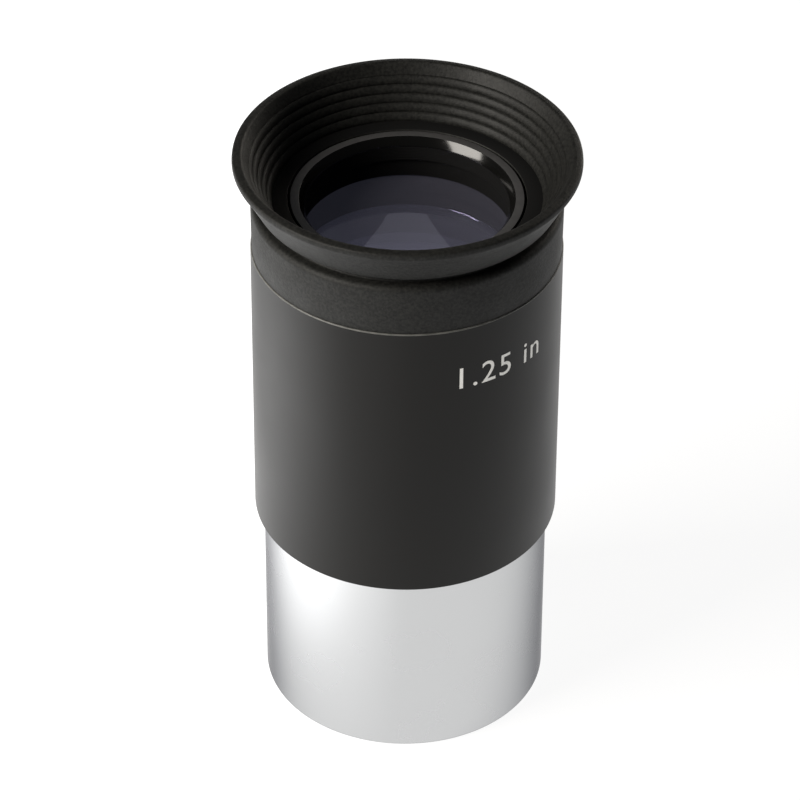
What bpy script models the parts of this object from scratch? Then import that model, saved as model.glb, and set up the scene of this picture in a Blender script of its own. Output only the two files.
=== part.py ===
"""Telescope eyepiece with a 1.25 inch barrel: two cemented lens pairs in an anodised housing,
a chrome-plated push-in barrel and a fold-down rubber eye guard.

The origin is on the optical axis at the barrel's open end. +Z runs along the optical axis,
from the telescope towards the eye. Every piece is turned about that axis.
"""

from math import cos, pi, radians, sin, sqrt

import bmesh
import bpy
from mathutils import Matrix, Vector

MM = 0.001
SEGMENTS = 56
FIT = 0.3 * MM

# Barrel: the 1.25 inch push-in fitting
BARREL_DIAMETER = 31.75 * MM
BARREL_LENGTH = 23.67 * MM
BARREL_WALL = 1.775 * MM
BARREL_EDGE = 0.35 * MM
SPIGOT_LENGTH = 4.6 * MM
SPIGOT_STEP = 0.975 * MM
FILTER_THREAD_LENGTH = 4.0 * MM
FILTER_THREAD_DEPTH = 0.3 * MM
THREAD_RELIEF_WIDTH = 1.0 * MM
THREAD_RELIEF_DEPTH = 0.6 * MM

# Field stop: the ring that frames the view, on a ledge in the barrel
STOP_LEDGE_HEIGHT = 18.9 * MM
STOP_LEDGE_WIDTH = 0.4 * MM
STOP_THICKNESS = 1.8 * MM
STOP_RING_WIDTH = 0.8 * MM
STOP_LIP = 0.4 * MM

# Housing
SHOULDER_WIDTH = 1.045 * MM
HOUSING_LENGTH = 34.93 * MM
HOUSING_EDGE = 0.25 * MM
BARREL_RECESS = 0.6 * MM
TUBE_RELIEF = 0.7 * MM

# Lens stack
LENS_DIAMETER = 25.2 * MM
LENS_DEPTH = 5.05 * MM
OUTER_CURVE = 70.0 * MM
CEMENT_CURVE = 25.5 * MM
CROWN_CURVE = 33.0 * MM
FLINT_EDGE = 6.0 * MM
CROWN_EDGE = 2.2 * MM
CROWN_GAP = 0.8 * MM
SPACER_WALL = 1.1 * MM

# Ring over the eye lens
EYE_RING_RIM = 0.96 * MM
EYE_RING_BEVEL_WIDTH = 0.62 * MM
EYE_RING_BEVEL_HEIGHT = 0.88 * MM
EYE_RING_RELIEF = 0.35 * MM
EYE_RING_RELIEF_HEIGHT = 1.6 * MM

# Ring under the field lens
FIELD_RING_HEIGHT = 3.0 * MM
FIELD_RING_WALL = 1.0 * MM
FIELD_RING_CHAMFER = 0.3 * MM
SPANNER_SLOT_WIDTH = 1.6 * MM
SPANNER_SLOT_DEPTH = 1.0 * MM

# Eye guard: a rubber band with a floor, and a ribbed flare that ends in a rolled lip
BAND_HEIGHT = 5.9 * MM
BAND_THICKNESS = 1.45 * MM
BAND_SHOULDER = 0.9 * MM
FLOOR_THICKNESS = 1.2 * MM
FLARE_FOOT_INSET = 2.34 * MM
FLARE_HEIGHT = 4.53 * MM
NECK_THICKNESS = 0.9 * MM
NECK_HEIGHT = 0.9 * MM
FLARE_HEEL_INSET = 0.42 * MM
RIB_COUNT = 5
RIB_DEPTH = 0.3 * MM
LIP_BORE_GAP = 0.33 * MM
LIP_OVERHANG = 1.84 * MM
LIP_HEIGHT = 1.65 * MM
LIP_DROP = 0.43 * MM
LIP_ROUND = 0.6 * MM

# Radii and heights that follow from the sizes above
BARREL_RADIUS = BARREL_DIAMETER / 2
BARREL_BORE = BARREL_RADIUS - BARREL_WALL
SPIGOT_RADIUS = BARREL_RADIUS - SPIGOT_STEP
BARREL_SHOULDER = BARREL_LENGTH + BARREL_RECESS - FIT
SPIGOT_TOP = BARREL_SHOULDER + SPIGOT_LENGTH
HOUSING_RADIUS = BARREL_RADIUS + SHOULDER_WIDTH
BAND_BASE = BARREL_LENGTH + HOUSING_LENGTH
FLOOR_LEVEL = BAND_BASE + BAND_HEIGHT
LENS_RADIUS = LENS_DIAMETER / 2
LENS_BORE = LENS_RADIUS + FIT
EYE_LENS_RIM = FLOOR_LEVEL - LENS_DEPTH
FLARE_FOOT = HOUSING_RADIUS - FLARE_FOOT_INSET
LIP_BORE = HOUSING_RADIUS + LIP_BORE_GAP
LIP_RADIUS = HOUSING_RADIUS + LIP_OVERHANG
LIP_BASE = FLOOR_LEVEL + FLARE_HEIGHT - LIP_DROP


def material(name, colour, roughness, metallic=0.0, transmission=0.0):
    """Principled material, made once and shared by the pieces that have the same finish."""
    found = bpy.data.materials.get(name)
    if found:
        return found
    made = bpy.data.materials.new(name)
    made.use_nodes = True
    shader = made.node_tree.nodes["Principled BSDF"]
    shader.inputs["Base Color"].default_value = (*colour, 1.0)
    shader.inputs["Roughness"].default_value = roughness
    shader.inputs["Metallic"].default_value = metallic
    shader.inputs["Transmission Weight"].default_value = transmission
    made.diffuse_color = (*colour, 1.0)
    return made


def chrome():
    return material("satin_chrome_plate", (0.60, 0.60, 0.59), 0.22, metallic=1.0)


def anodised():
    return material("black_anodised_aluminium", (0.030, 0.029, 0.028), 0.38, metallic=0.4)


def rubber():
    return material("moulded_black_rubber", (0.022, 0.022, 0.022), 0.75)


def glass():
    return material("coated_optical_glass", (0.10, 0.09, 0.16), 0.03, transmission=0.8)


def arc(centre, radius, start, end, steps):
    """Points on a round corner, by angle in degrees from the +R direction."""
    angles = [radians(start + (end - start) * i / steps) for i in range(steps + 1)]
    return [(centre[0] + radius * cos(a), centre[1] + radius * sin(a)) for a in angles]


def turned(name, outline, finish):
    """Spin a closed outline of (radius, height) points about the optical axis into a solid."""
    shape = bmesh.new()
    corners = [shape.verts.new((radius, 0.0, height)) for radius, height in outline]
    on_axis = [radius < FIT / 10 for radius, _ in outline]
    count = len(corners)
    edges = []
    for i in range(count):
        following = (i + 1) % count
        if not (on_axis[i] and on_axis[following]):
            edges.append(shape.edges.new((corners[i], corners[following])))
    bmesh.ops.spin(
        shape,
        geom=corners + edges,
        cent=(0, 0, 0),
        axis=(0, 0, 1),
        angle=2 * pi,
        steps=SEGMENTS,
        use_merge=True,
    )
    bmesh.ops.remove_doubles(shape, verts=shape.verts, dist=FIT / 100)
    bmesh.ops.recalc_face_normals(shape, faces=shape.faces)
    mesh = bpy.data.meshes.new(name)
    shape.to_mesh(mesh)
    shape.free()
    mesh.shade_smooth()
    mesh.set_sharp_from_angle(angle=radians(30))
    mesh.materials.append(finish)
    made = bpy.data.objects.new(name, mesh)
    bpy.context.collection.objects.link(made)
    return made


def dome(curve, rim, height, side, steps=5):
    """Points on a lens surface from its rim to the axis; side is +1 where it bulges up."""
    centre = height - side * sqrt(curve**2 - rim**2)
    radii = [rim * (1 - i / steps) for i in range(steps + 1)]
    return [(r, centre + side * sqrt(curve**2 - r**2)) for r in radii]


def sag(curve, radius=LENS_RADIUS):
    """How far a lens surface's middle stands proud of the same surface at this radius."""
    return curve - sqrt(curve**2 - radius**2)


def stand_off(curve, inner):
    """Distance from a bulging lens's rim to a ring with this bore that rests on its surface."""
    return sag(curve) - sag(curve, inner) + FIT


def lens(name, upper, lower):
    """A lens element between two surfaces, each listed from its rim to the axis."""
    return turned(name, upper + lower[::-1], glass())


def barrel():
    """Push-in barrel: filter thread at the open end, ledge for the field stop, screwed spigot."""
    ledge_bore = BARREL_BORE - STOP_LEDGE_WIDTH
    crest = ledge_bore + FILTER_THREAD_DEPTH
    relief = ledge_bore + THREAD_RELIEF_DEPTH
    relief_start = BARREL_EDGE + FILTER_THREAD_LENGTH
    relief_end = relief_start + THREAD_RELIEF_WIDTH
    outline = [
        (crest + BARREL_EDGE, 0),
        (BARREL_RADIUS - BARREL_EDGE, 0),
        (BARREL_RADIUS, BARREL_EDGE),
        (BARREL_RADIUS, BARREL_SHOULDER - BARREL_EDGE),
        (BARREL_RADIUS - BARREL_EDGE, BARREL_SHOULDER),
        (SPIGOT_RADIUS, BARREL_SHOULDER),
        (SPIGOT_RADIUS, SPIGOT_TOP - BARREL_EDGE),
        (SPIGOT_RADIUS - BARREL_EDGE, SPIGOT_TOP),
        (BARREL_BORE, SPIGOT_TOP),
        (BARREL_BORE, STOP_LEDGE_HEIGHT),
        (ledge_bore, STOP_LEDGE_HEIGHT),
        (ledge_bore, relief_end + THREAD_RELIEF_DEPTH),
        (relief, relief_end),
        (relief, relief_start),
        (crest, relief_start),
        (crest, BARREL_EDGE),
    ]
    return turned("barrel", outline, chrome())


def field_stop():
    """Thin ring on the barrel's ledge, its bore narrowed to an edge at the top."""
    outer = BARREL_BORE - FIT
    inner = outer - STOP_RING_WIDTH
    base = STOP_LEDGE_HEIGHT + FIT
    top = base + STOP_THICKNESS
    outline = [
        (outer, base),
        (outer, top),
        (inner, top),
        (inner, top - STOP_LIP),
        (inner + STOP_LIP, base),
    ]
    return turned("field_stop", outline, anodised())


def housing(stack_bottom):
    """Anodised body. From below: a shallow recess that the barrel's shoulder enters, a screwed
    socket, the light tube, the lens bore, and the seat for the guard outside it."""
    recess = BARREL_RADIUS + FIT
    recess_top = BARREL_LENGTH + BARREL_RECESS
    socket = SPIGOT_RADIUS + FIT
    socket_top = SPIGOT_TOP + FIT
    light_tube = LENS_BORE + TUBE_RELIEF
    seat = HOUSING_RADIUS - BAND_THICKNESS - FIT
    seat_top = FLOOR_LEVEL - FLOOR_THICKNESS - FIT
    outline = [
        (recess, BARREL_LENGTH),
        (HOUSING_RADIUS - HOUSING_EDGE, BARREL_LENGTH),
        (HOUSING_RADIUS, BARREL_LENGTH + HOUSING_EDGE),
        (HOUSING_RADIUS, BAND_BASE - HOUSING_EDGE),
        (HOUSING_RADIUS - HOUSING_EDGE, BAND_BASE),
        (seat, BAND_BASE),
        (seat, seat_top - HOUSING_EDGE),
        (seat - HOUSING_EDGE, seat_top),
        (LENS_BORE, seat_top),
        (LENS_BORE, stack_bottom - FIT),
        (light_tube, stack_bottom - FIT - TUBE_RELIEF),
        (light_tube, socket_top),
        (socket, socket_top),
        (socket, recess_top),
        (recess, recess_top),
    ]
    return turned("housing", outline, anodised())


def lens_stack():
    """Both cemented pairs and their spacer, from the eye down. Returns the lowest rim height."""
    rim = LENS_RADIUS
    upper_joint = EYE_LENS_RIM - FLINT_EDGE
    lens(
        "eye_flint_lens",
        dome(OUTER_CURVE, rim, EYE_LENS_RIM, -1),
        dome(CEMENT_CURVE, rim, upper_joint, 1),
    )
    crown_top = upper_joint - FIT
    crown_rim = crown_top - CROWN_EDGE
    lens(
        "eye_crown_lens",
        dome(CEMENT_CURVE, rim, crown_top, 1),
        dome(CROWN_CURVE, rim, crown_rim, -1),
    )
    lower_crown_top = crown_rim - 2 * sag(CROWN_CURVE) - CROWN_GAP
    inner = rim - SPACER_WALL
    spacer_top = crown_rim - stand_off(CROWN_CURVE, inner)
    spacer_base = lower_crown_top + stand_off(CROWN_CURVE, inner)
    turned(
        "lens_spacer",
        [(rim, spacer_base), (rim, spacer_top), (inner, spacer_top), (inner, spacer_base)],
        anodised(),
    )
    lower_crown_rim = lower_crown_top - CROWN_EDGE
    lens(
        "field_crown_lens",
        dome(CROWN_CURVE, rim, lower_crown_top, 1),
        dome(CEMENT_CURVE, rim, lower_crown_rim, -1),
    )
    lower_joint = lower_crown_rim - FIT
    field_rim = lower_joint - FLINT_EDGE
    lens(
        "field_flint_lens",
        dome(CEMENT_CURVE, rim, lower_joint, -1),
        dome(OUTER_CURVE, rim, field_rim, 1),
    )
    return field_rim


def eye_lens_retaining_ring():
    """Screwed ring that holds the stack from above: a flat rim, a bevel down to the bore, and a
    relief just above the glass."""
    base = EYE_LENS_RIM + FIT
    mouth = LENS_RADIUS - EYE_RING_RIM
    bore = mouth - EYE_RING_BEVEL_WIDTH
    relief = base + EYE_RING_RELIEF_HEIGHT
    outline = [
        (LENS_RADIUS, base),
        (LENS_RADIUS, FLOOR_LEVEL),
        (mouth, FLOOR_LEVEL),
        (bore, FLOOR_LEVEL - EYE_RING_BEVEL_HEIGHT),
        (bore, relief + EYE_RING_RELIEF),
        (bore + EYE_RING_RELIEF, relief),
        (bore + EYE_RING_RELIEF, base),
    ]
    return turned("eye_lens_retaining_ring", outline, anodised())


def field_lens_retaining_ring(lens_rim):
    """Screwed ring that holds the stack from below, with two spanner slots across its face.
    Returns the height of its lower face."""
    inner = LENS_RADIUS - FIELD_RING_WALL
    top = lens_rim - FIT
    base = top - FIELD_RING_HEIGHT
    outline = [
        (LENS_RADIUS, base),
        (LENS_RADIUS, top),
        (inner, top),
        (inner, base + FIELD_RING_CHAMFER),
        (inner + FIELD_RING_CHAMFER, base),
    ]
    ring = turned("field_lens_retaining_ring", outline, anodised())
    bpy.ops.mesh.primitive_cube_add(size=1, location=(0, 0, base))
    cutter = bpy.context.object
    cutter.name = "spanner_slot_cutter"
    cutter.data.transform(
        Matrix.Diagonal(Vector((2 * LENS_DIAMETER, SPANNER_SLOT_WIDTH, 2 * SPANNER_SLOT_DEPTH, 1)))
    )
    cutter.hide_render = True
    cutter.display_type = "WIRE"
    slots = ring.modifiers.new("spanner_slots", "BOOLEAN")
    slots.operation = "DIFFERENCE"
    slots.solver = "EXACT"
    slots.object = cutter
    return base


def eye_guard_sleeve():
    """The guard's band, which grips the housing, and the flat floor around the eye lens."""
    inner = HOUSING_RADIUS - BAND_THICKNESS
    floor_under = FLOOR_LEVEL - FLOOR_THICKNESS
    shoulder = (HOUSING_RADIUS - BAND_SHOULDER, FLOOR_LEVEL - BAND_SHOULDER)
    outline = [
        (inner, BAND_BASE + FIT),
        (HOUSING_RADIUS, BAND_BASE + FIT),
        *arc(shoulder, BAND_SHOULDER, 0, 90, 4),
        (LENS_BORE, FLOOR_LEVEL),
        (LENS_BORE, floor_under),
        (inner, floor_under),
    ]
    return turned("eye_guard_sleeve", outline, rubber())


def eye_guard_skirt():
    """The flare: a thin neck that folds, and a ribbed wall that widens towards the lip."""
    foot = FLOOR_LEVEL + FIT
    inner_top = (LIP_BORE - FIT, LIP_BASE + LIP_DROP - FIT)
    neck_outer = FLARE_FOOT + NECK_THICKNESS
    heel = (HOUSING_RADIUS - FLARE_HEEL_INSET, FLOOR_LEVEL + NECK_HEIGHT)
    outline = [(neck_outer, foot), (neck_outer, heel[1]), heel]
    outline += [(LIP_RADIUS - LIP_ROUND / 2, LIP_BASE - FIT), (inner_top[0], LIP_BASE - FIT)]
    step = Vector(inner_top) - Vector((FLARE_FOOT, foot))
    across = Vector((step.y, -step.x)).normalized() * RIB_DEPTH
    for rib in range(RIB_COUNT, 0, -1):
        crest = Vector((FLARE_FOOT, foot)) + step * (rib - 0.5) / RIB_COUNT
        valley = Vector((FLARE_FOOT, foot)) + step * rib / RIB_COUNT
        outline += [tuple(valley), tuple(crest - across)]
    outline.append((FLARE_FOOT, foot))
    return turned("eye_guard_skirt", outline, rubber())


def eye_guard_lip():
    """The rolled rim, wide enough to pass down outside the band when the guard is folded."""
    top = LIP_BASE + LIP_HEIGHT
    outer = (LIP_RADIUS - LIP_ROUND, LIP_BASE + LIP_ROUND)
    crest = (LIP_RADIUS - LIP_ROUND, top - LIP_ROUND)
    outline = [
        (LIP_BORE, LIP_BASE),
        *arc(outer, LIP_ROUND, -90, 0, 3),
        *arc(crest, LIP_ROUND, 0, 90, 3),
        (LIP_BORE, top - LIP_ROUND),
    ]
    return turned("eye_guard_lip", outline, rubber())


for leftover in list(bpy.data.objects):
    bpy.data.objects.remove(leftover)

field_lens_rim = lens_stack()
stack_bottom = field_lens_retaining_ring(field_lens_rim)
housing(stack_bottom)
eye_lens_retaining_ring()
barrel()
field_stop()
eye_guard_sleeve()
eye_guard_skirt()
eye_guard_lip()
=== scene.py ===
from math import cos, pi, radians, sin, sqrt, tan

import bmesh
import bpy
from mathutils import Matrix, Vector


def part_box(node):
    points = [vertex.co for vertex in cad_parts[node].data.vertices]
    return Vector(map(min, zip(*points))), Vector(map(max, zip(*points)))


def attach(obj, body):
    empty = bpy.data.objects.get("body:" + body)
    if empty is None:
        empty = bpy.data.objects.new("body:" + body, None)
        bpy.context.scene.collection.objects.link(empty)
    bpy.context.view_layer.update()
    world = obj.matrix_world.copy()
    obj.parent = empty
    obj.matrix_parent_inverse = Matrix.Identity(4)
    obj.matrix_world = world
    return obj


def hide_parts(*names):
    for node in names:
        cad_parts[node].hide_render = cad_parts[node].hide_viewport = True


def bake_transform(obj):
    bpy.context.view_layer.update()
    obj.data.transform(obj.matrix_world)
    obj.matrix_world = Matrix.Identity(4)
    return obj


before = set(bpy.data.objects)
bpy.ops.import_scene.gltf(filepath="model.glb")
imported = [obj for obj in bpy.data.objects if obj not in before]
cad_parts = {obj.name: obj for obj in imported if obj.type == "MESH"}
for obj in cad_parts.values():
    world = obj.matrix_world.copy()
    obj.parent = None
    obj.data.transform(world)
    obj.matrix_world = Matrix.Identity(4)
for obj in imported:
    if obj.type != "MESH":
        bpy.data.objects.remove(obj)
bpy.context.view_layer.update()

mm = 0.001

# The studio. The eyepiece stands on its barrel on a white acrylic light table that glows from
# below, in a room with a dark ceiling. A wide key light stands at front left and a small one at
# back right. The camera looks down at it from the front, from half a metre away.

def linear(hex_colour):
    """An sRGB hex colour as linear red, green, blue and alpha."""
    channels = [int(hex_colour[i : i + 2], 16) / 255 for i in (1, 3, 5)]
    curve = [c / 12.92 if c <= 0.04045 else ((c + 0.055) / 1.055) ** 2.4 for c in channels]
    return (*curve, 1.0)


def add_node(tree, kind, values=None, links=None, **settings):
    """A shader node with its settings, socket values and incoming links."""
    made = tree.nodes.new(kind)
    for name, value in settings.items():
        setattr(made, name, value)
    for socket, value in (values or {}).items():
        made.inputs[socket].default_value = value
    for socket, source in (links or {}).items():
        tree.links.new(source, made.inputs[socket])
    return made


def new_material(name):
    """A material with only its output node; returns it, its tree and the output."""
    made = bpy.data.materials.new(name)
    made.use_nodes = True
    made.node_tree.nodes.clear()
    return made, made.node_tree, add_node(made.node_tree, "ShaderNodeOutputMaterial")


# Opal acrylic sheet, matt side up: lit through, so it stays bright right up to the eyepiece, and
# brighter over the lamp under its left side, which the dark cylinders mirror as a soft stripe.
# Its light spills a little towards the barrel. Seen from below the sheet is clear.
table_grain = 0.6 * mm
lamp_centre = (-104 * mm, -12 * mm, 0.0)
lamp_core = 15 * mm
lamp_reach = 87 * mm
lamp_glow = 3.4
sheet_glow = 0.92
spill_full = -30 * mm
spill_end = -2 * mm
spill_glow = 0.42
table_material, tree, output = new_material("opal_acrylic_lit_from_below")
place = add_node(tree, "ShaderNodeTexCoord")
grain = add_node(
    tree, "ShaderNodeTexNoise", {"Scale": 1 / table_grain}, {"Vector": place.outputs["Object"]}
)
tint = add_node(
    tree,
    "ShaderNodeMix",
    {"A": linear("#606060"), "B": linear("#646464")},
    {"Factor": grain.outputs["Fac"]},
    data_type="RGBA",
)
lamp_distance = add_node(
    tree,
    "ShaderNodeVectorMath",
    {1: lamp_centre},
    {0: place.outputs["Object"]},
    operation="DISTANCE",
)
glow = add_node(
    tree,
    "ShaderNodeMapRange",
    {
        "From Min": lamp_core,
        "From Max": lamp_reach,
        "To Min": lamp_glow,
        "To Max": sheet_glow,
    },
    {"Value": lamp_distance.outputs["Value"]},
    interpolation_type="SMOOTHSTEP",
)
sideways = add_node(
    tree, "ShaderNodeSeparateXYZ", links={"Vector": place.outputs["Object"]}
)
spill = add_node(
    tree,
    "ShaderNodeMapRange",
    {"From Min": spill_full, "From Max": spill_end, "To Min": spill_glow, "To Max": 0.0},
    {"Value": sideways.outputs["X"]},
)
lit = add_node(
    tree,
    "ShaderNodeMath",
    links={0: glow.outputs["Result"], 1: spill.outputs["Result"]},
    operation="ADD",
)
board = add_node(
    tree,
    "ShaderNodeBsdfPrincipled",
    {"Roughness": 0.9, "Specular IOR Level": 0.1, "Emission Color": linear("#ffffff")},
    {"Base Color": tint.outputs["Result"], "Emission Strength": lit.outputs["Value"]},
)
facing = add_node(tree, "ShaderNodeNewGeometry")
underside = add_node(tree, "ShaderNodeBsdfTransparent")
sheet = add_node(
    tree,
    "ShaderNodeMixShader",
    links={
        0: facing.outputs["Backfacing"],
        1: board.outputs["BSDF"],
        2: underside.outputs["BSDF"],
    },
)
tree.links.new(sheet.outputs["Shader"], output.inputs["Surface"])

table_size = 6.0
table_drop = 0.05 * mm
table_mesh = bpy.data.meshes.new("table")
half = table_size / 2
table_mesh.from_pydata(
    [
        (-half, -half, -table_drop),
        (half, -half, -table_drop),
        (half, half, -table_drop),
        (-half, half, -table_drop),
    ],
    [],
    [(0, 1, 2, 3)],
)
table_mesh.materials.append(table_material)
table = bpy.data.objects.new("table", table_mesh)
bpy.context.scene.collection.objects.link(table)


aim_height = 0.04


def soft_box(name, azimuth, elevation, distance, width, height, power, colour):
    """A rectangular lamp that faces the middle of the eyepiece; degrees, metres and watts."""
    lamp = bpy.data.lights.new(name, "AREA")
    lamp.shape = "RECTANGLE"
    lamp.size = width
    lamp.size_y = height
    lamp.energy = power
    lamp.color = linear(colour)[:3]
    made = bpy.data.objects.new(name, lamp)
    turn, lift = radians(azimuth), radians(elevation)
    away = Vector((sin(turn) * cos(lift), -cos(turn) * cos(lift), sin(lift)))
    made.location = Vector((0, 0, aim_height)) + away * distance
    made.rotation_euler = away.to_track_quat("Z", "Y").to_euler()
    bpy.context.scene.collection.objects.link(made)
    return made


soft_box("key_light", -66, 32, 0.9, 0.50, 0.40, 14.0, "#fffaf2")
soft_box("back_light", 146, 13, 0.9, 0.40, 0.30, 2.5, "#fff8ec")

# Grey cards hung behind and above: the glass mirrors the wide dim one over most of its face,
# and the narrow brighter one in front of it as a pale shape with slanting sides.
def reflector(name, strength, distance, edges):
    """A glowing card from a list of (width, elevation) edges, this far behind the eyepiece."""
    finish, tree, output = new_material(name + "_paint")
    shine = add_node(
        tree, "ShaderNodeEmission", {"Color": linear("#f2f2f6"), "Strength": strength}
    )
    tree.links.new(shine.outputs["Emission"], output.inputs["Surface"])
    mesh = bpy.data.meshes.new(name)
    points = [
        (side * width / 2, distance * cos(radians(lift)), 0.06 + distance * sin(radians(lift)))
        for width, lift in edges
        for side in (-1, 1)
    ]
    mesh.from_pydata(points, [], [(0, 1, 3, 2)])
    mesh.materials.append(finish)
    made = bpy.data.objects.new(name, mesh)
    bpy.context.scene.collection.objects.link(made)


reflector("wide_grey_card", 0.18, 1.1, ((0.7, 22.0), (0.7, 64.0)))
reflector("narrow_white_card", 0.68, 1.0, ((0.13, 33.0), (0.016, 50.5)))

world = bpy.data.worlds.new("studio_walls")
world.use_nodes = True
tree = world.node_tree
place = add_node(tree, "ShaderNodeTexCoord")
height = add_node(
    tree, "ShaderNodeSeparateXYZ", links={"Vector": place.outputs["Generated"]}
)
wall = add_node(
    tree,
    "ShaderNodeMapRange",
    {"From Min": -0.02, "From Max": 0.12, "To Min": 0.9, "To Max": 0.05},
    {"Value": height.outputs["Z"]},
)
tree.nodes["Background"].inputs["Color"].default_value = linear("#f1f3f6")
tree.links.new(wall.outputs["Result"], tree.nodes["Background"].inputs["Strength"])
bpy.context.scene.world = world

camera_distance = 0.38529
camera_height = 0.33257
camera_pitch = 52.51
camera_turn = 0.097
camera_roll = 0.326
lens_length = 196.84
camera_data = bpy.data.cameras.new("camera")
camera_data.lens = lens_length
camera_data.sensor_width = 36.0
camera_data.clip_start = 0.01
camera = bpy.data.objects.new("camera", camera_data)
camera.location = (0, -camera_distance, camera_height)
aim = (
    Matrix.Rotation(radians(camera_turn), 3, "Z")
    @ Matrix.Rotation(radians(camera_pitch), 3, "X")
    @ Matrix.Rotation(radians(camera_roll), 3, "Z")
)
camera.rotation_euler = aim.to_euler()
bpy.context.scene.collection.objects.link(camera)
bpy.context.scene.camera = camera
bpy.context.scene.view_settings.view_transform = "Standard"


# Barrel. Brass tube turned on a lathe and chrome plated, then lightly satin finished. It slides
# into the focuser, a filter screws into its open end, and its spigot screws into the housing.

turns = 256


def rounded(profile):
    """Outline points from (radius, height, rounding) corners in millimetres, with each corner
    that has a rounding cut to an arc."""
    points = []
    count = len(profile)
    for i, (r, z, rounding) in enumerate(profile):
        corner = Vector((r, z))
        if rounding <= 0:
            points.append(corner)
            continue
        before = Vector(profile[i - 1][:2]) - corner
        after = Vector(profile[(i + 1) % count][:2]) - corner
        half_angle = before.angle(after) / 2
        cut = min(rounding / tan(half_angle), before.length * 0.49, after.length * 0.49)
        radius = cut * tan(half_angle)
        middle = corner + (before.normalized() + after.normalized()).normalized() * (
            radius / sin(half_angle)
        )
        start = corner + before.normalized() * cut - middle
        end = corner + after.normalized() * cut - middle
        sweep = start.angle_signed(end)
        steps = max(2, int(abs(sweep) / radians(15)))
        for k in range(steps + 1):
            turned_by = -sweep * k / steps
            points.append(middle + Matrix.Rotation(turned_by, 2) @ start)
    return [(p.x, p.y) for p in points]


def lathe(name, outline, materials, crease=35):
    """A solid turned about the optical axis from a closed outline in millimetres."""
    shape = bmesh.new()
    corners = [shape.verts.new((r * mm, 0, z * mm)) for r, z in outline]
    on_axis = [r < 1e-6 for r, _ in outline]
    edges = []
    for i in range(len(corners)):
        following = (i + 1) % len(corners)
        if not (on_axis[i] and on_axis[following]):
            edges.append(shape.edges.new((corners[i], corners[following])))
    bmesh.ops.spin(
        shape,
        geom=corners + edges,
        cent=(0, 0, 0),
        axis=(0, 0, 1),
        angle=2 * pi,
        steps=turns,
        use_merge=True,
    )
    bmesh.ops.remove_doubles(shape, verts=shape.verts, dist=1e-6)
    bmesh.ops.recalc_face_normals(shape, faces=shape.faces)
    mesh = bpy.data.meshes.new(name)
    shape.to_mesh(mesh)
    shape.free()
    mesh.shade_smooth()
    mesh.set_sharp_from_angle(angle=radians(crease))
    for material in materials:
        mesh.materials.append(material)
    made = bpy.data.objects.new(name, mesh)
    bpy.context.scene.collection.objects.link(made)
    return made


def screw_thread(name, root, crest, pitch, start, end, material):
    """A helical thread ridge between two heights, run out at both ends; millimetres."""
    steps_per_turn = 96
    flank = 0.42 * pitch
    flat = 0.08 * pitch
    count = int((end - start) / pitch * steps_per_turn)
    mesh_points = []
    faces = []
    for i in range(count + 1):
        angle = 2 * pi * i / steps_per_turn
        height = start + pitch * i / steps_per_turn
        run_out = min(1.0, i / (steps_per_turn / 3), (count - i) / (steps_per_turn / 3))
        top = root + (crest - root) * run_out
        for r, z in ((root, -flank), (top, -flat), (top, flat), (root, flank)):
            mesh_points.append((r * cos(angle) * mm, r * sin(angle) * mm, (height + z) * mm))
        if i:
            a, b = 4 * (i - 1), 4 * i
            faces += [(a + k, a + (k + 1) % 4, b + (k + 1) % 4, b + k) for k in range(4)]
    faces += [(3, 2, 1, 0), tuple(4 * count + k for k in range(4))]
    mesh = bpy.data.meshes.new(name)
    mesh.from_pydata(mesh_points, [], faces)
    shape = bmesh.new()
    shape.from_mesh(mesh)
    bmesh.ops.recalc_face_normals(shape, faces=shape.faces)
    shape.to_mesh(mesh)
    shape.free()
    mesh.shade_smooth()
    mesh.set_sharp_from_angle(angle=radians(30))
    mesh.materials.append(material)
    made = bpy.data.objects.new(name, mesh)
    bpy.context.scene.collection.objects.link(made)
    return made


# Satin chrome: plated over fine lathe rings, then blasted, so it mirrors only broad soft shapes.
lathe_ring_pitch = 0.07 * mm
lathe_ring_run = 50 * mm
blast_grain = 0.05 * mm
handled_patch = 9 * mm
chrome, tree, output = new_material("satin_chrome_plate_on_turned_brass")
place = add_node(tree, "ShaderNodeTexCoord")
rings_place = add_node(
    tree,
    "ShaderNodeMapping",
    {"Scale": (1 / lathe_ring_run, 1 / lathe_ring_run, 1 / lathe_ring_pitch)},
    {"Vector": place.outputs["Object"]},
)
rings = add_node(
    tree,
    "ShaderNodeTexNoise",
    {"Scale": 1.0, "Detail": 2.0},
    {"Vector": rings_place.outputs["Vector"]},
)
blast = add_node(
    tree, "ShaderNodeTexNoise", {"Scale": 1 / blast_grain}, {"Vector": place.outputs["Object"]}
)
handling = add_node(
    tree,
    "ShaderNodeTexNoise",
    {"Scale": 1 / handled_patch, "Detail": 4.0},
    {"Vector": place.outputs["Object"]},
)
dull = add_node(
    tree,
    "ShaderNodeMapRange",
    {"From Min": 0.3, "From Max": 0.7, "To Min": 0.24, "To Max": 0.29},
    {"Value": handling.outputs["Fac"]},
)
ring_bump = add_node(
    tree,
    "ShaderNodeBump",
    {"Strength": 0.25, "Distance": 0.004 * mm},
    {"Height": rings.outputs["Fac"]},
)
bump = add_node(
    tree,
    "ShaderNodeBump",
    {"Strength": 0.2, "Distance": 0.003 * mm},
    {"Height": blast.outputs["Fac"], "Normal": ring_bump.outputs["Normal"]},
)
metal = add_node(
    tree,
    "ShaderNodeBsdfPrincipled",
    {
        "Base Color": linear("#c9cacb"),
        "Metallic": 1.0,
        "Specular Tint": linear("#909093"),
    },
    {"Roughness": dull.outputs["Result"], "Normal": bump.outputs["Normal"]},
)
tree.links.new(metal.outputs["BSDF"], output.inputs["Surface"])

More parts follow.
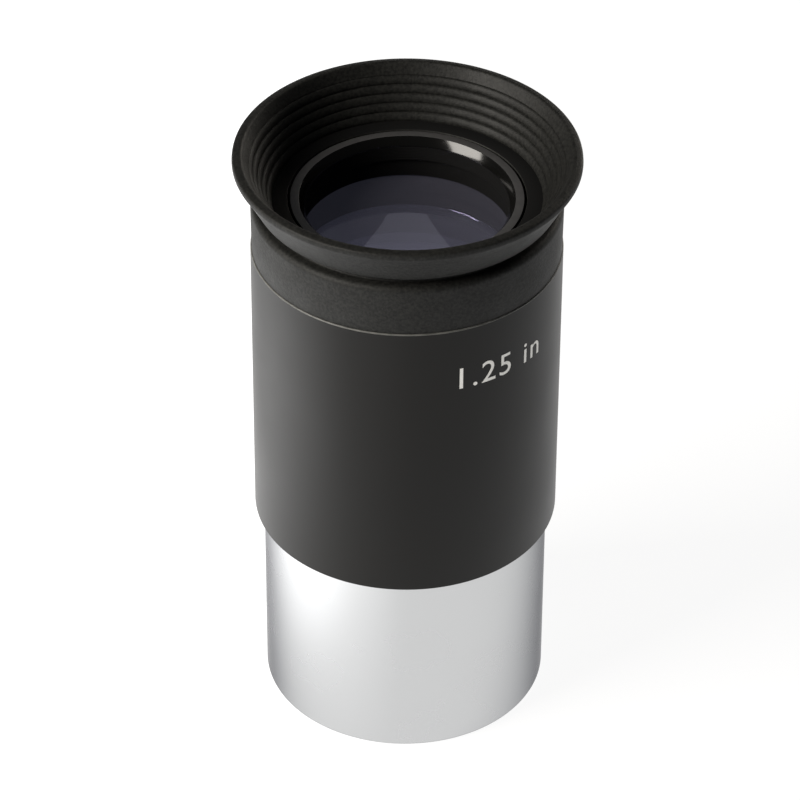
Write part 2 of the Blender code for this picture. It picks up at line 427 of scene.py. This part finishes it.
barrel_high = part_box("barrel")[1]
housing_low, housing_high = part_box("housing")
stop_low, stop_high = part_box("field_stop")
barrel_radius = barrel_high.x / mm
barrel_top = barrel_high.z / mm
barrel_seat = housing_low.z / mm
spigot_radius = 14.9
barrel_bore = 14.1
stop_ledge = stop_low.z / mm - 0.02
ledge_bore = 13.7
thread_crest = 14.0
thread_root = 14.3
thread_pitch = 0.6
thread_depth = 4.0
screw_root = 14.55
screw_pitch = 0.75
barrel = lathe(
    "barrel_shell",
    rounded([
        (14.5, 0.0, 0.05),
        (barrel_radius, 0.0, 0.3),
        (barrel_radius, barrel_seat + 0.55, 0.15),
        (screw_root, barrel_seat + 0.55, 0.1),
        (screw_root, barrel_top - 0.4, 0.0),
        (screw_root - 0.3, barrel_top, 0.05),
        (barrel_bore, barrel_top, 0.1),
        (barrel_bore, stop_ledge, 0.05),
        (ledge_bore, stop_ledge, 0.05),
        (ledge_bore, 6.0, 0.1),
        (thread_root, 5.4, 0.1),
        (thread_root, 0.3, 0.05),
    ]),
    [chrome],
)
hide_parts("barrel")
filter_thread = screw_thread(
    "filter_thread", thread_root + 0.03, thread_crest, thread_pitch, 0.6, 0.6 + thread_depth, chrome
)
spigot_thread = screw_thread(
    "spigot_thread",
    screw_root - 0.03,
    spigot_radius,
    screw_pitch,
    barrel_seat + 1.4,
    barrel_top - 0.8,
    chrome,
)
for piece in (barrel, filter_thread, spigot_thread):
    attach(piece, "screwed_barrel")


# Housing. One aluminium tube, turned, bead blasted and black anodised; its inside is painted
# matt black against stray light. The rubber guard stretches over its reduced upper end.

# Black anodised aluminium, bead blasted first: an even satin black with a faint fine sparkle.
bead_grain = 0.09 * mm
dye_patch = 14 * mm
anodised, tree, output = new_material("black_anodised_bead_blasted_aluminium")
place = add_node(tree, "ShaderNodeTexCoord")
beads = add_node(
    tree,
    "ShaderNodeTexNoise",
    {"Scale": 1 / bead_grain, "Detail": 3.0},
    {"Vector": place.outputs["Object"]},
)
dye = add_node(
    tree,
    "ShaderNodeTexNoise",
    {"Scale": 1 / dye_patch, "Detail": 3.0},
    {"Vector": place.outputs["Object"]},
)
shade = add_node(
    tree,
    "ShaderNodeMix",
    {"A": linear("#0c0b0a"), "B": linear("#100f0d")},
    {"Factor": dye.outputs["Fac"]},
    data_type="RGBA",
)
sheen_spread = add_node(
    tree,
    "ShaderNodeMapRange",
    {"From Min": 0.3, "From Max": 0.7, "To Min": 0.36, "To Max": 0.42},
    {"Value": dye.outputs["Fac"]},
)
bump = add_node(
    tree,
    "ShaderNodeBump",
    {"Strength": 0.3, "Distance": 0.006 * mm},
    {"Height": beads.outputs["Fac"]},
)
film = add_node(
    tree,
    "ShaderNodeBsdfPrincipled",
    {"IOR": 1.5, "Specular IOR Level": 0.2},
    {
        "Base Color": shade.outputs["Result"],
        "Roughness": sheen_spread.outputs["Result"],
        "Normal": bump.outputs["Normal"],
    },
)
tree.links.new(film.outputs["BSDF"], output.inputs["Surface"])

# The tube's sharp upper corner: a painted highlight, a lighter mottled grey for the light it catches.
corner_highlight_mottle = 0.9 * mm
painted_corner_highlight, tree, output = new_material("painted_highlight_on_corner")
place = add_node(tree, "ShaderNodeTexCoord")
highlight_mottle = add_node(
    tree,
    "ShaderNodeTexNoise",
    {"Scale": 1 / corner_highlight_mottle, "Detail": 3.0},
    {"Vector": place.outputs["Object"]},
)
shade = add_node(
    tree,
    "ShaderNodeMix",
    {"A": linear("#1e1e1c"), "B": linear("#666662")},
    {"Factor": highlight_mottle.outputs["Fac"]},
    data_type="RGBA",
)
edge = add_node(
    tree, "ShaderNodeBsdfPrincipled", {"Roughness": 0.5}, {"Base Color": shade.outputs["Result"]}
)
tree.links.new(edge.outputs["BSDF"], output.inputs["Surface"])

# Flat black lacquer, brushed on inside: almost no light comes back from it.
brush_grain = 0.25 * mm
lacquer, tree, output = new_material("flat_black_lacquer")
place = add_node(tree, "ShaderNodeTexCoord")
specks = add_node(
    tree, "ShaderNodeTexNoise", {"Scale": 1 / brush_grain}, {"Vector": place.outputs["Object"]}
)
shade = add_node(
    tree,
    "ShaderNodeMix",
    {"A": linear("#080808"), "B": linear("#0c0c0c")},
    {"Factor": specks.outputs["Fac"]},
    data_type="RGBA",
)
bump = add_node(
    tree,
    "ShaderNodeBump",
    {"Strength": 0.4, "Distance": 0.02 * mm},
    {"Height": specks.outputs["Fac"]},
)
paint = add_node(
    tree,
    "ShaderNodeBsdfPrincipled",
    {"Roughness": 0.8, "Specular IOR Level": 0.12},
    {"Base Color": shade.outputs["Result"], "Normal": bump.outputs["Normal"]},
)
tree.links.new(paint.outputs["BSDF"], output.inputs["Surface"])

sleeve_low, sleeve_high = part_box("eye_guard_sleeve")
field_ring_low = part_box("field_lens_retaining_ring")[0]
housing_radius = housing_high.x / mm
housing_top = housing_high.z / mm
band_base = sleeve_low.z / mm - 0.3
lens_bore = 12.65
light_tube = 13.6
guard_seat = 15.4
corner_rounding = 0.14
socket_radius = 15.0
socket_top = barrel_top + 0.3
tube_top = field_ring_low.z / mm - 0.3
housing = lathe(
    "housing_shell",
    rounded([
        (barrel_radius + 0.04, barrel_seat, 0.04),
        (housing_radius, barrel_seat, 0.16),
        (housing_radius, band_base, corner_rounding),
        (guard_seat, band_base, 0.1),
        (guard_seat, housing_top, 0.3),
        (lens_bore, housing_top, 0.1),
        (lens_bore, tube_top, 0.1),
        (light_tube, tube_top - 0.7, 0.1),
        (light_tube, socket_top, 0.1),
        (socket_radius, socket_top, 0.0),
        (socket_radius, barrel_seat + 0.6, 0.0),
        (barrel_radius + 0.04, barrel_seat + 0.6, 0.0),
    ]),
    [anodised, lacquer, painted_corner_highlight],
)
# Inner faces take the black lacquer; faces on the upper outer corner take the painted highlight.
for face in housing.data.polygons:
    reach = Vector(face.center[:2]).length / mm
    height = face.center.z / mm
    if reach < guard_seat - 0.1:
        face.material_index = 1
    elif reach > housing_radius - corner_rounding and height > band_base - corner_rounding + 0.01:
        face.material_index = 2
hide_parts("housing")
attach(housing, "eyepiece")

# Size mark. A laser bleaches the black dye out of the anodised skin, which leaves dull white
# figures level with the surface. Only the standard barrel size is marked.
mark_size = 3.9 * mm
mark_skin = 0.02 * mm
mark_height = 50.8 * mm
mark_start = radians(17)
mark_slice = 0.3 * mm
text = bpy.data.curves.new("size_mark", "FONT")
text.body = "1.25 in"
text.size = mark_size
text.space_character = 1.12
text.extrude = mark_skin
text.resolution_u = 4
writer = bpy.data.objects.new("size_mark_text", text)
bpy.context.scene.collection.objects.link(writer)
bpy.context.view_layer.update()
mark_mesh = bpy.data.meshes.new_from_object(writer.evaluated_get(bpy.context.evaluated_depsgraph_get()))
bpy.data.objects.remove(writer)
shape = bmesh.new()
shape.from_mesh(mark_mesh)
bmesh.ops.remove_doubles(shape, verts=shape.verts, dist=1e-7)
widest = max(vert.co.x for vert in shape.verts)
for i in range(1, int(widest / mark_slice) + 1):
    bmesh.ops.bisect_plane(
        shape,
        geom=shape.verts[:] + shape.edges[:] + shape.faces[:],
        dist=1e-8,
        plane_co=(i * mark_slice, 0, 0),
        plane_no=(1, 0, 0),
    )
for vert in shape.verts:
    turn = mark_start + vert.co.x / (housing_radius * mm)
    reach = housing_radius * mm + vert.co.z
    vert.co = (reach * sin(turn), -reach * cos(turn), mark_height + vert.co.y)
bmesh.ops.recalc_face_normals(shape, faces=shape.faces)
shape.to_mesh(mark_mesh)
shape.free()

laser_pulse = 0.15 * mm
bleached, tree, output = new_material("laser_bleached_anodising")
place = add_node(tree, "ShaderNodeTexCoord")
pulses = add_node(
    tree, "ShaderNodeTexNoise", {"Scale": 1 / laser_pulse}, {"Vector": place.outputs["Object"]}
)
shade = add_node(
    tree,
    "ShaderNodeMix",
    {"A": linear("#d9d7d2"), "B": linear("#f2f0ea")},
    {"Factor": pulses.outputs["Fac"]},
    data_type="RGBA",
)
frost = add_node(
    tree, "ShaderNodeBsdfPrincipled", {"Roughness": 0.7}, {"Base Color": shade.outputs["Result"]}
)
tree.links.new(frost.outputs["BSDF"], output.inputs["Surface"])
mark_mesh.materials.clear()
mark_mesh.materials.append(bleached)
size_mark = bpy.data.objects.new("size_mark", mark_mesh)
bpy.context.scene.collection.objects.link(size_mark)
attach(size_mark, "eyepiece")


# Field stop. A thin aluminium ring, anodised and blackened, screwed down on the barrel's ledge;
# its sharp upper edge is what frames the view.

stop_radius = barrel_bore - 0.02
stop_bore = stop_high.x / mm - 0.8
field_stop = lathe(
    "field_stop_ring",
    rounded([
        (stop_radius, stop_low.z / mm, 0.05),
        (stop_radius, stop_high.z / mm, 0.05),
        (stop_bore, stop_high.z / mm, 0.02),
        (stop_bore, stop_high.z / mm - 0.3, 0.0),
        (stop_bore + 0.5, stop_low.z / mm, 0.05),
    ]),
    [lacquer],
)
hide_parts("field_stop")
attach(field_stop, "stop_carrier")


# Lens stack. From below: a screwed ring with two spanner slots, the field pair, a spacer and the
# eye pair. Each pair is a crown and a flint element cemented together, so it is one body of glass.

# Coated crown and flint glass: clear, with a weak blue-violet reflection from its outer faces and
# a faint lilac bloom over all of it, which stands in for what the coatings send back from every side:
# partly a lit diffuse veil, partly a painted glow from a weak emission.
glass_dust = 0.4 * mm
glass, tree, output = new_material("polished_coated_optical_glass")
place = add_node(tree, "ShaderNodeTexCoord")
dust = add_node(
    tree,
    "ShaderNodeTexNoise",
    {"Scale": 1 / glass_dust, "Detail": 6.0},
    {"Vector": place.outputs["Object"]},
)
film_dust = add_node(
    tree,
    "ShaderNodeMapRange",
    {"From Min": 0.55, "From Max": 0.8, "To Min": 0.0, "To Max": 0.02},
    {"Value": dust.outputs["Fac"]},
)
clear = add_node(
    tree,
    "ShaderNodeBsdfPrincipled",
    {
        "Base Color": linear("#d2d0e6"),
        "IOR": 1.52,
        "Transmission Weight": 0.955,
        "Specular Tint": linear("#dedcf4"),
        # Painted glow: a faint lilac emission that stands in for the coatings' reflections.
        "Emission Color": linear("#a6a8c4"),
        "Emission Strength": 0.024,
    },
    {"Roughness": film_dust.outputs["Result"]},
)
tree.links.new(clear.outputs["BSDF"], output.inputs["Surface"])


def cap(curve, rim, height, side, steps=24):
    """A lens surface from its rim to the axis, in millimetres; side is 1 where it bulges up."""
    centre = height - side * sqrt(curve**2 - rim**2)
    return [
        (rim * (1 - i / steps), centre + side * sqrt(curve**2 - (rim * (1 - i / steps)) ** 2))
        for i in range(steps + 1)
    ]


outer_curve = 70.0
crown_curve = 33.0
lens_rim = 12.6
edge_bevel = 0.15


def lens_pair(name, outer_rim, inner_rim, side, *nodes):
    """A cemented pair; side is 1 for the eye pair, whose hollow outer face looks up."""
    outline = cap(outer_curve, lens_rim - edge_bevel, outer_rim, -side)[::-1]
    outline += [(lens_rim, outer_rim - side * edge_bevel), (lens_rim, inner_rim + side * edge_bevel)]
    outline += cap(crown_curve, lens_rim - edge_bevel, inner_rim, -side)
    made = lathe(name, outline, [glass, lacquer])
    for face in made.data.polygons:
        if Vector(face.center[:2]).length > (lens_rim - 2 * edge_bevel) * mm:
            face.material_index = 1
    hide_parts(*nodes)
    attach(made, "eyepiece")
    return made


field_flint_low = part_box("field_flint_lens")[0]
field_crown_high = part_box("field_crown_lens")[1]
eye_flint_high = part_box("eye_flint_lens")[1]
eye_crown_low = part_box("eye_crown_lens")[0]
crown_sag = crown_curve - sqrt(crown_curve**2 - lens_rim**2)
lens_pair(
    "field_lens_pair",
    field_flint_low.z / mm,
    field_crown_high.z / mm - crown_sag,
    -1,
    "field_flint_lens",
    "field_crown_lens",
)
lens_pair(
    "eye_lens_pair",
    eye_flint_high.z / mm,
    eye_crown_low.z / mm + crown_sag,
    1,
    "eye_flint_lens",
    "eye_crown_lens",
)

# Spacer tube: black anodised inside and out, with fine grooves that kill grazing light.
spacer_low, spacer_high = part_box("lens_spacer")
spacer_wall = 1.1
groove_pitch = 0.3
groove_depth = 0.12
spacer_outline = [(lens_rim, spacer_low.z / mm), (lens_rim, spacer_high.z / mm)]
groove_count = int((spacer_high.z - spacer_low.z) / mm / groove_pitch)
for i in range(groove_count):
    ridge = spacer_high.z / mm - i * groove_pitch
    spacer_outline += [
        (lens_rim - spacer_wall, ridge - 0.1),
        (lens_rim - spacer_wall + groove_depth, ridge - 0.2),
    ]
spacer_outline.append((lens_rim - spacer_wall, spacer_low.z / mm))
spacer = lathe("spacer_tube", spacer_outline, [lacquer])
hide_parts("lens_spacer")
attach(spacer, "eyepiece")

field_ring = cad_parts["field_lens_retaining_ring"]
field_ring.data.materials.clear()
field_ring.data.materials.append(anodised)


# Eye-lens retaining ring. Turned aluminium, black anodised, screwed in on top of the eye pair.
# Its bore is grooved and blackened against glare and ends in a bevel that frames the glass.

# Machined black anodise: the cutter's rings are left under the dye, so it shines more.
tool_pitch = 0.05 * mm
tool_marks_around = 60.0
machined, tree, output = new_material("black_anodised_machined_aluminium")
place = add_node(tree, "ShaderNodeTexCoord")
tool_place = add_node(
    tree,
    "ShaderNodeMapping",
    {"Scale": (tool_marks_around, tool_marks_around, 1 / tool_pitch)},
    {"Vector": place.outputs["Object"]},
)
tool = add_node(
    tree, "ShaderNodeTexNoise", {"Scale": 1.0}, {"Vector": tool_place.outputs["Vector"]}
)
shade = add_node(
    tree,
    "ShaderNodeMix",
    {"A": linear("#080808"), "B": linear("#0d0d0c")},
    {"Factor": tool.outputs["Fac"]},
    data_type="RGBA",
)
bump = add_node(
    tree,
    "ShaderNodeBump",
    {"Strength": 0.2, "Distance": 0.004 * mm},
    {"Height": tool.outputs["Fac"]},
)
film = add_node(
    tree,
    "ShaderNodeBsdfPrincipled",
    {"Roughness": 0.13, "Specular IOR Level": 0.26},
    {"Base Color": shade.outputs["Result"], "Normal": bump.outputs["Normal"]},
)
tree.links.new(film.outputs["BSDF"], output.inputs["Surface"])

eye_ring_low, eye_ring_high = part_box("eye_lens_retaining_ring")
ring_base = eye_ring_low.z / mm
ring_top = eye_ring_high.z / mm
ring_mouth = 11.64
ring_bore = 11.02
mouth_bevel = 0.88
relief_top = ring_base + 1.95
relief_bore = 11.37
glare_pitch = 0.2
glare_depth = 0.04
eye_ring_outline = rounded([
    (relief_bore, ring_base - 0.25, 0.0),
    (lens_rim, ring_base - 0.25, 0.0),
    (lens_rim, ring_top, 0.08),
    (ring_mouth, ring_top, 0.04),
    (ring_bore, ring_top - mouth_bevel, 0.05),
])
glare_top = ring_top - mouth_bevel - 0.1
for i in range(int((glare_top - relief_top - 0.1) / glare_pitch)):
    height = glare_top - i * glare_pitch
    for k in range(4):
        swing = glare_depth * (1 - cos(2 * pi * k / 4)) / 2
        eye_ring_outline.append((ring_bore + swing, height - glare_pitch * k / 4))
eye_ring_outline += [
    (ring_bore, relief_top + 0.06),
    (ring_bore + 0.06, relief_top),
    (relief_bore - 0.02, relief_top - 0.04),
    (relief_bore, relief_top - 0.3),
]

# Greyer anodising on the flat top rim: its up-facing faces are a shade greyer than the rest.
top_rim_grain = 0.8 * mm
grey_top_rim, tree, output = new_material("greyer_black_anodising_on_top_rim")
place = add_node(tree, "ShaderNodeTexCoord")
top_rim_mottle = add_node(
    tree,
    "ShaderNodeTexNoise",
    {"Scale": 1 / top_rim_grain, "Detail": 4.0},
    {"Vector": place.outputs["Object"]},
)
shade = add_node(
    tree,
    "ShaderNodeMix",
    {"A": linear("#303030"), "B": linear("#424141")},
    {"Factor": top_rim_mottle.outputs["Fac"]},
    data_type="RGBA",
)
film = add_node(
    tree, "ShaderNodeBsdfPrincipled", {"Roughness": 0.45}, {"Base Color": shade.outputs["Result"]}
)
tree.links.new(film.outputs["BSDF"], output.inputs["Surface"])

eye_ring = lathe("eye_ring", eye_ring_outline, [machined, grey_top_rim, lacquer], crease=60)
for face in eye_ring.data.polygons:
    if face.center.z < (ring_top - mouth_bevel - 0.06) * mm:
        face.material_index = 2
    # The up-facing faces of the flat top rim take the greyer black.
    if face.normal.z > 0.9 and face.center.z > (ring_top - 0.1) * mm:
        face.material_index = 1
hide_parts("eye_lens_retaining_ring")
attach(eye_ring, "eyepiece")


# Eye guard. Black rubber, moulded in one: a band that grips the housing, a floor round the eye
# lens, a thin neck, and a flare with moulded ribs inside and a rounded lip.

# Moulded rubber: matt, finely speckled from the mould's grain, and a little shinier in patches.
mould_grain = 0.32 * mm
mould_patch = 5 * mm
rubber, tree, output = new_material("moulded_black_rubber")
place = add_node(tree, "ShaderNodeTexCoord")
fine = add_node(
    tree,
    "ShaderNodeTexNoise",
    {"Scale": 1 / mould_grain, "Detail": 4.0, "Roughness": 0.6},
    {"Vector": place.outputs["Object"]},
)
cloudy = add_node(
    tree,
    "ShaderNodeTexNoise",
    {"Scale": 1 / mould_patch, "Detail": 5.0},
    {"Vector": place.outputs["Object"]},
)
speckle = add_node(
    tree,
    "ShaderNodeMapRange",
    {"From Min": 0.36, "From Max": 0.64, "To Min": 0.0, "To Max": 1.0},
    {"Value": fine.outputs["Fac"]},
)
shade = add_node(
    tree,
    "ShaderNodeMix",
    {"A": linear("#0b0b0a"), "B": linear("#1e1e1c")},
    {"Factor": speckle.outputs["Result"]},
    data_type="RGBA",
)
matt = add_node(
    tree,
    "ShaderNodeMapRange",
    {"From Min": 0.3, "From Max": 0.7, "To Min": 0.52, "To Max": 0.64},
    {"Value": cloudy.outputs["Fac"]},
)
bump = add_node(
    tree,
    "ShaderNodeBump",
    {"Strength": 0.8, "Distance": 0.05 * mm},
    {"Height": fine.outputs["Fac"]},
)
soft = add_node(
    tree,
    "ShaderNodeBsdfPrincipled",
    {"IOR": 1.5, "Specular IOR Level": 0.2},
    {
        "Base Color": shade.outputs["Result"],
        "Roughness": matt.outputs["Result"],
        "Normal": bump.outputs["Normal"],
    },
)
tree.links.new(soft.outputs["BSDF"], output.inputs["Surface"])

lip_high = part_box("eye_guard_lip")[1]
floor_level = sleeve_high.z / mm
lip_radius = lip_high.x / mm
lip_top = lip_high.z / mm
guard_inner = guard_seat + 0.03
flare_foot = 14.58
flare_top = 16.98
flare_top_height = lip_top - 1.22
heel_radius = housing_radius - 0.42
heel_height = floor_level + 0.95
rib_count = 5
rib_depth = 0.18
rib_points = 10
guard_outline = rounded([
    (12.85, housing_top + 0.05, 0.05),
    (guard_inner, housing_top + 0.05, 0.1),
    (guard_inner, band_base + 0.03, 0.05),
    (housing_radius - 0.13, band_base + 0.02, 0.03),
    (housing_radius - 0.06, floor_level - 0.05, 0.95),
    (15.5, floor_level, 0.25),
    (15.5, heel_height, 0.25),
    (heel_radius, heel_height, 0.12),
    (lip_radius - 0.62, lip_top - 1.75, 1.2),
    (lip_radius, lip_top - 0.8, 0.35),
    (lip_radius - 0.06, lip_top - 0.2, 0.3),
    (17.75, lip_top, 0.4),
    (flare_top, flare_top_height, 0.3),
])
foot = Vector((flare_foot, floor_level + 0.02))
slope = Vector((flare_top + 0.02, flare_top_height - 0.08)) - foot
across = Vector((-slope.y, slope.x)).normalized()
for i in range(rib_count * rib_points):
    along = 1 - i / (rib_count * rib_points)
    wave = abs(sin(pi * rib_count * along)) ** 0.5
    point = foot + slope * along + across * rib_depth * wave
    guard_outline.append((point.x, point.y))
guard_outline += [(foot.x, floor_level), (12.9, floor_level), (12.85, floor_level - 0.05)]
guard = lathe("eye_guard", guard_outline, [rubber, lacquer], crease=80)
for face in guard.data.polygons:
    centre = face.center / mm
    if face.normal.z > 0.9 and abs(centre.z - floor_level) < 0.1 and centre.xy.length < flare_foot:
        face.material_index = 1
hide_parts("eye_guard_sleeve", "eye_guard_skirt", "eye_guard_lip")
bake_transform(guard)
